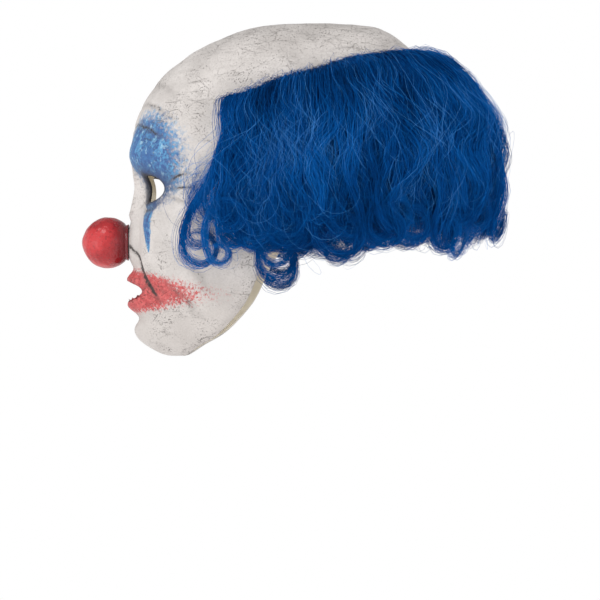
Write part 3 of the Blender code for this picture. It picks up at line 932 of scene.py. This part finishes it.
def ringlet_choices(panel, rng):
    """The same choices for a panel's ringlets, each a loop that is seen from the side.

    Those on the right mirror RINGLETS, with small changes."""
    low, high = PANELS[panel]
    left = low < 180
    way = 1.0 if left else -1.0
    large = [row for row in RINGLETS if low <= (row[0] if left else 360 - row[0]) < high]
    rows = np.vstack([np.reshape(large, (-1, 5)), small_ringlets(low, high, left, rng)])
    root, lean, end, radius, turns = rows.T
    count = len(root)
    is_large = np.arange(count) < len(large)
    unlike = 0.0 if left else 1.0
    facing_side = np.radians(np.clip(97 - root, 0, 42))
    return {
        "turn": root if left else 360 - root,
        "layer": rng.uniform(0.72, 0.98, count),
        "lean": way * lean + unlike * rng.uniform(-2.0, 2.0, count),
        "end": end + unlike * rng.uniform(-0.004, 0.004, count),
        "curl_radius": radius,
        "turns": turns,
        "roll": rng.uniform(-0.25, 0.45, count) * (root > 90) + facing_side,
        "hand": np.where(is_large | (rng.random(count) < 0.7), way, -way),
        "wave": rng.uniform(0.0020, 0.0045, count),
        "wave_length": rng.uniform(0.045, 0.080, count),
        "phase": rng.uniform(0, 2 * math.pi, count),
        "close": np.full(count, 0.34),
        "wide": rng.uniform(0.0060, 0.0085, count),
        "steady": np.ones(count),
        "rise": np.full(count, 0.0030),
        "arch": np.zeros(count),
        "strands": np.where(is_large, STRANDS_PER_RINGLET, STRANDS_PER_SMALL_RINGLET),
    }


def flow(lock, height, down):
    """Sway, puff and ripple, from -1 to 1, that a strand shares with the hair round it.

    They fade out towards the face and at the ends of the steady ringlets."""
    turn = lock["turn"] / FLOW_TURN + 0 * down
    place = np.stack([turn, height / FLOW_HEIGHT, 1.7 * lock["layer"] + 0 * down], -1)
    settled = 1 - 0.8 * lock["steady"] * smoothstep(0.4, 1.0, down)
    settled = settled * smoothstep(52, 80, folded(lock["turn"]))
    sway = 2 * (lumps(place, 1.0, 0.37) - 0.5) * smoothstep(0.05, 0.5, down) * settled
    puff = 2 * (lumps(place, 0.8, 11.3) - 0.5) * smoothstep(0.05, 0.3, down) * settled
    ripple = 2 * (lumps(2.6 * place, 1.0, 5.9) - 0.5) * smoothstep(0.05, 0.4, down) * settled
    return sway, puff, ripple


def curl(lock, radius, done, at, heading):
    """What the curl adds to each point of a strand, and the axis that it turns about.

    done is the share of the curl that lies behind a point, at the azimuth where it starts, in
    radians, and heading the way that the strand runs there."""
    outer = np.stack([np.sin(at), -np.cos(at), 0 * at], -1)
    round_way = np.stack([np.cos(at), np.sin(at), 0 * at], -1)
    toward = np.cos(lock["roll"]) * lock["hand"]
    centre_way = toward * round_way - np.sin(lock["roll"]) * outer
    centre_way = unit(centre_way - (centre_way * heading).sum(-1, keepdims=True) * heading)
    axis = np.cross(heading, centre_way)
    angle = (done * lock["turns"] * 2 * math.pi)[..., None]
    radius = radius[..., None]
    tight = radius * (1 - 0.035 * angle)
    loop = tight * (np.sin(angle) * heading[:, None] + (1 - np.cos(angle)) * centre_way[:, None])
    drift = 0.10 * radius * angle
    return loop + drift * (0.5 * heading[:, None] + 0.6 * axis[:, None]), axis


def strand_paths(lock, rng, spread, loose):
    """Paths of strands, one for each row of lock, as an array of [strand, point, xyz].

    spread is each strand's own place in its lock, sideways and outwards, in metres. loose
    is how far it strays. The second result is the axis that the strand curls about."""
    # Every choice becomes a column, to meet the row of points along a strand
    lock = {key: values[:, None] for key, values in lock.items()}
    sideways, outwards, loose = (values[:, None] for values in (*spread, loose))
    side, layer, close = folded(lock["turn"]), lock["layer"], lock["close"]
    uneven_root = rng.normal(0, 0.0011, side.shape)
    root = through(BAND_TOP_Z, side) + 0.0014 - 0.0034 * (1 - layer) + uneven_root
    toward = np.cos(lock["roll"]) * lock["hand"]
    in_plane = close * (sideways * toward - outwards * np.sin(lock["roll"]))
    radius = np.clip(lock["curl_radius"] - in_plane, 0.0035, 0.03)
    fall = (root - lock["end"]) * 1.12
    start = fall / (fall + 2 * math.pi * radius * lock["turns"])
    along = np.linspace(0, 1, STRAND_POINTS)
    down = np.clip(along / start, 0, 1)

    dropped = down ** (1.0 + 0.30 * layer)
    height = root + (lock["end"] - root) * dropped
    height = height + lock["rise"] * layer * np.sin(math.pi * np.clip(down / 0.16, 0, 1))
    travel = fall * down
    wave = lock["wave"] * smoothstep(0.04, 0.75, down)
    swing = 2 * math.pi * travel / lock["wave_length"] + lock["phase"]
    narrow = 1 - (1 - close) * smoothstep(0.1, 1.0, down)
    sway, puff, ripple = flow(lock, height, down)
    stray = loose * smoothstep(0.05, 0.8, down)
    a, b = rng.uniform(0, 2 * math.pi, (2, *side.shape))
    pace = rng.uniform(60, 150, side.shape)

    across = wave * np.sin(swing) + sideways * narrow
    across = across + lock["arch"] * smoothstep(54, 76, side) * smoothstep(0.0, 0.16, down)
    across = across + FLOW_SWAY * sway + FLOW_RIPPLE * ripple
    crimp = 0.00035 * np.sin(travel * pace * 1.8 + 2 * b)
    across = across + stray * np.sin(travel * pace + a) + crimp

    fullness = through(HAIR_FULLNESS, side) * through(HAIR_PROFILE, dropped)
    outward = 0.0012 + 0.0016 * (1 - layer * (1 - smoothstep(0, 0.05, down)))
    outward = outward + layer * fullness + wave * np.cos(swing) * 0.5
    outward = outward + (0.0035 * puff + outwards * narrow) * smoothstep(0.0, 0.22, down)
    outward = outward + stray * np.cos(travel * pace * 0.8 + b)

    lean = lock["lean"] * smoothstep(0.35, 0.95, down)
    turn = swept(lock["turn"], height) + lean + np.degrees(across / 0.11)
    points = hair_place(turn, outward, height)
    last = np.clip((start[:, 0] * (STRAND_POINTS - 1)).astype(int) - 1, 0, STRAND_POINTS - 2)
    heading = unit(points[:, -1] - points[np.arange(len(last)), last])
    done = np.clip((along - start) / (1 - start), 0, 1)
    loop, axis = curl(lock, radius, done, np.radians(turn[:, -1]), heading)
    return off_the_shell(points + loop, 0.0012), axis


def tubes(name, paths, axes, radius, shades, materials):
    """Thin three-sided tubes along the paths, in the shade of each stretch.

    axes are at right angles to where the strands curl, which keeps the tubes from twisting."""
    count, steps = paths.shape[:2]
    tangent = unit(np.gradient(paths, axis=1))
    normal = unit(np.cross(axes[:, None], tangent))
    binormal = np.cross(tangent, normal)
    taper = 1 - 0.6 * np.linspace(0, 1, steps) ** 7
    ring = []
    for angle in (0, 2 * math.pi / 3, 4 * math.pi / 3):
        offset = math.cos(angle) * normal + math.sin(angle) * binormal
        ring.append(paths + offset * (radius[:, None] * taper)[..., None])
    points = np.stack(ring, 2).reshape(-1, 3)
    index = np.arange(count * steps * 3).reshape(count, steps, 3)
    after = np.roll(index, -1, axis=2)
    quads = np.stack([index[:, :-1], after[:, :-1], after[:, 1:], index[:, 1:]], -1)
    face_shade = shades[:, :-1, None] + np.zeros(3, int)
    mesh = mesh_from(name, points, quads.reshape(-1, 4), face_shade.ravel())
    return add_object(name, mesh, *materials)


def shades_of(strand_tone, paths):
    """Shade number at each point: darker at the roots as painted shade, a little darker at the tips,
    and lighter and darker by the tress.
    """
    along = np.linspace(0, 1, paths.shape[1])
    # Painted shade: darker near the roots, and a little darker at the tips
    lighter = 1.3 * smoothstep(0.0, 0.35, along) - 0.5 * smoothstep(0.75, 1.0, along)
    tone = strand_tone[:, None] + lighter
    tone = tone + 2.6 * (lumps(paths * (1, 1, 0.5), 0.021, 4.4) - 0.5)
    return np.clip(np.round(tone), 0, len(HAIR_SHADES) - 1).astype(int)


def hinge(panel):
    """The panel's joint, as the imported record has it."""
    return next(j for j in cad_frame["joints"] if j["name"] == "lift_" + panel)


def swing_with(piece, panel):
    """Bakes the piece's transform into its mesh. It reads the panel's hinge, but does nothing with it.
    """
    joint = hinge(panel)
    at, axis = np.array(joint["pos_m"]), unit(np.array(joint["axis"], float))
    down = np.array([0, 0, -1.0])
    down = unit(down - (down @ axis) * axis)
    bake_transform(piece)


def joined(*sets):
    """The rows of several sets of choices as one set."""
    return {key: np.concatenate([one[key] for one in sets]) for key in sets[0]}


def flyaways(lock, rng):
    """Choices for the loose hairs, each a mix of what the other strands do."""
    total = len(lock["turn"])
    stray = {key: values[rng.integers(0, total, FLYAWAYS)] for key, values in lock.items()}
    stray["layer"] = rng.uniform(0.70, 1.0, FLYAWAYS)
    stray["end"] = stray["end"] + rng.uniform(0, 0.03, FLYAWAYS)
    stray["wave"] = rng.uniform(0.003, 0.009, FLYAWAYS)
    stray["wave_length"] = rng.uniform(0.030, 0.080, FLYAWAYS)
    stray["phase"] = rng.uniform(0, 2 * math.pi, FLYAWAYS)
    stray["rise"] = rng.uniform(0.0020, 0.0085, FLYAWAYS)
    stray["arch"] = rng.uniform(-0.014, 0.014, FLYAWAYS)
    stray["lean"] = stray["lean"] + rng.normal(0, 8, FLYAWAYS)
    room = folded(stray["turn"]) - FACE_LIMIT
    stray["lean"] = np.clip(stray["lean"], -room, room)
    return stray


def hair_panel(panel, number, materials):
    """The strands of a panel: its locks, its ringlets and the flyaways between them."""
    rng = np.random.default_rng(40 + number)
    locks = joined(lock_choices(panel, rng), ringlet_choices(panel, rng))
    pick = np.repeat(np.arange(len(locks["turn"])), locks["strands"].astype(int))
    total = len(pick)
    lock = {key: values[pick] for key, values in locks.items()}
    unruly = 1 - 0.5 * lock["steady"]
    lock["curl_radius"] = lock["curl_radius"] * (1 + unruly * rng.uniform(-0.13, 0.10, total))
    lock["turns"] = lock["turns"] * (1 + unruly * rng.uniform(-0.30, 0.10, total))
    lock["end"] = lock["end"] + unruly * rng.normal(0, 0.0026, total)
    angle, from_middle = rng.uniform(0, 2 * math.pi, total), np.sqrt(rng.random(total))
    sideways = lock["wide"] * from_middle * np.cos(angle)
    outwards = 0.0045 * from_middle * np.sin(angle)
    loose = np.abs(rng.normal(0, 0.0008, total)) + 0.0003
    loose = np.where(rng.random(total) < 0.12 * unruly, 3.0 * loose, loose)
    side = folded(lock["turn"])
    tone = rng.normal(1.12, 0.35, len(locks["turn"]))[pick] + rng.normal(0, 0.5, total)
    tone = tone + 0.8 * (1 - smoothstep(60, 88, side)) + 0.4 * smoothstep(120, 160, side)

    lock = joined(lock, flyaways(lock, rng))
    sideways = np.concatenate([sideways, rng.normal(0, 0.006, FLYAWAYS)])
    outwards = np.concatenate([outwards, rng.uniform(-0.002, 0.004, FLYAWAYS)])
    loose = np.concatenate([loose, rng.uniform(0.0008, 0.0026, FLYAWAYS)])
    # The loose hairs take paler shades: painted sheen
    tone = np.concatenate([tone, rng.normal(2.9, 0.8, FLYAWAYS)])
    paths, axes = strand_paths(lock, rng, (sideways, outwards), loose)
    radius = STRAND_RADIUS * rng.uniform(0.75, 1.2, len(paths))
    radius[-FLYAWAYS:] *= 0.7
    shades = shades_of(tone, paths)

    solids = ("tress_" + panel, "under_hair_" + panel)
    nodes = [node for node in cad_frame["nodes"] if node.rsplit("_", 1)[0] in solids]
    for part in range(STRAND_PIECES):
        mine = slice(part, None, STRAND_PIECES)
        name = f"curls_{panel}_{part + 1}"
        piece = tubes(name, paths[mine], axes[mine], radius[mine], shades[mine], materials)
        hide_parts(*nodes)
        swing_with(piece, panel)


def sheet_faces(sheet, flip):
    """Quads over a grid of point numbers, turned round where flip is set."""
    faces = np.stack([sheet[:-1, :-1], sheet[1:, :-1], sheet[1:, 1:], sheet[:-1, 1:]], -1)
    faces = faces.reshape(-1, 4)
    return faces[:, ::-1] if flip else faces


def under_hair(panel, number, materials):
    """The dense heart of a panel, grooved like packed fibre, behind the loose strands."""
    low, high = np.clip(PANELS[panel], *UNDER_REACH)
    columns, rows = 150, 46
    turn, down = np.meshgrid(np.linspace(low, high, columns), np.linspace(0, 1, rows), indexing="ij")
    side, level = folded(turn), np.zeros_like(turn)
    root = through(BAND_TOP_Z, side) - 0.006
    tip = through(HAIR_TIP_Z, side) + 0.032 + 0.045 * (1 - smoothstep(86, 106, side))
    height = root + (tip - root) * down
    tuft = lumps(np.stack([turn / 9.0, down * 1.3, level + number], -1), 0.6) - 0.5
    groove = lumps(np.stack([turn / 1.1, down * 1.6 + turn / 40, level], -1), 0.9) - 0.5
    uneven_tip = lumps(np.stack([turn / 3.0, level, level], -1), 0.8) - 0.5
    fullness = through(HAIR_FULLNESS, side) * through(HAIR_PROFILE, down)
    outward = 0.0028 + 0.50 * fullness * (1 - 0.45 * smoothstep(0.7, 1.0, down))
    outward = outward + 0.010 * tuft * smoothstep(0, 0.3, down) + 0.0022 * groove
    height = height + 0.020 * uneven_tip * down**3
    outer = hair_place(swept(turn, height), np.maximum(outward, 0.0022), height)
    inner = hair_place(swept(turn, height), 0.0016, height)
    points = np.stack([off_the_shell(outer, 0.0018), off_the_shell(inner, 0.0010)], 0)
    index = np.arange(2 * columns * rows).reshape(2, columns, rows)
    faces = []
    for axis in range(3):
        faces.append(sheet_faces(index.take(0, axis), flip=axis != 1))
        faces.append(sheet_faces(index.take(-1, axis), flip=axis == 1))
    mesh = mesh_from("under_curls_" + panel, points.reshape(-1, 3), np.vstack(faces))
    # The packed hair takes only the darkest shade: painted shade inside the hair mass
    made = add_object("under_curls_" + panel, mesh, *materials)
    swing_with(made, panel)


# ---- Room ----
def floor():
    corners = FLOOR_REACH * np.array([(-1, -1, 0), (1, -1, 0), (1, 1, 0), (-1, 1, 0)])
    mesh = mesh_from("floor", corners, [(0, 1, 2, 3)])
    t = Tree("pale_floor")
    t.set(Base_Color=(0.90, 0.90, 0.90), Roughness=0.9)
    t.set(Emission_Color=(1, 1, 1), Emission_Strength=0.50)
    made = add_object("floor", mesh, t.material)
    made.location.z = FLOOR_Z


def area_light(name, at, size, power):
    data = bpy.data.lights.new(name, "AREA")
    data.shape = "DISK"
    data.size = size
    data.energy = power
    lamp = add_object(name, data)
    lamp.location = at
    aim(lamp, (0, 0, 0))


def aim(thing, target):
    """Turns a lamp or the camera to look at a point."""
    thing.rotation_mode = "QUATERNION"
    thing.rotation_quaternion = (Vector(target) - thing.location).to_track_quat("-Z", "Y")


def lights():
    """A pale sky, brightest near the horizon, and three soft lamps."""
    world = bpy.context.scene.world or bpy.data.worlds.new("World")
    bpy.context.scene.world = world
    world.use_nodes = True
    tree = world.node_tree
    way = tree.nodes.new("ShaderNodeTexCoord").outputs["Generated"]
    split = tree.nodes.new("ShaderNodeSeparateXYZ")
    tree.links.new(way, split.inputs[0])
    fade = tree.nodes.new("ShaderNodeMapRange")
    fade.interpolation_type = "SMOOTHSTEP"
    for socket, value in {"From Min": 0.15, "From Max": 0.6, "To Min": 1.0, "To Max": 0.45}.items():
        fade.inputs[socket].default_value = value
    tree.links.new(split.outputs["Z"], fade.inputs["Value"])
    tree.links.new(fade.outputs[0], tree.nodes["Background"].inputs["Strength"])
    tree.nodes["Background"].inputs["Color"].default_value = (1, 1, 1, 1)
    for name, at, size, power in LAMPS:
        area_light(name, at, size, power)


def camera():
    data = bpy.data.cameras.new("camera")
    data.sensor_width = 36
    data.lens = data.sensor_width * CAMERA_DISTANCE / FRAME_WIDTH
    made = add_object("camera", data)
    azimuth = math.radians(CAMERA_AZIMUTH)
    x, y, z = CAMERA_TARGET
    made.location = (
        x + CAMERA_DISTANCE * math.sin(azimuth),
        y - CAMERA_DISTANCE * math.cos(azimuth),
        z,
    )
    aim(made, CAMERA_TARGET)
    bpy.context.scene.camera = made


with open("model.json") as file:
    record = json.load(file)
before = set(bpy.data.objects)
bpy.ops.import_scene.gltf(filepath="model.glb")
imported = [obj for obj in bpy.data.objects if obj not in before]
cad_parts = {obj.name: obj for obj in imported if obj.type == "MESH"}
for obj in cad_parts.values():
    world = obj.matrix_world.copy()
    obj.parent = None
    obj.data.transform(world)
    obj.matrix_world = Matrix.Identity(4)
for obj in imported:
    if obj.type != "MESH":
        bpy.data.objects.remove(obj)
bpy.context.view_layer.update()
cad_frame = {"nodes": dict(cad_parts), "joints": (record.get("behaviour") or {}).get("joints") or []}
camera()
lights()
floor()
latex_shell(painted_latex(), raw_latex())
nose_ball(red_latex())
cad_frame["nodes"]["nose_foam_plug"].material_slots[0].material = foam()
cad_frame["nodes"]["weft_band"].material_slots[0].material = woven_band()
hair_materials = [hair_shade(i, colour) for i, colour in enumerate(HAIR_SHADES)]
for number, panel in enumerate(PANELS):
    # The packed hair under the strands gets only the darkest shade, as painted shade
    under_hair(panel, number, hair_materials[:1])
    hair_panel(panel, number, hair_materials)
bpy.context.scene.view_settings.view_transform = "Standard"
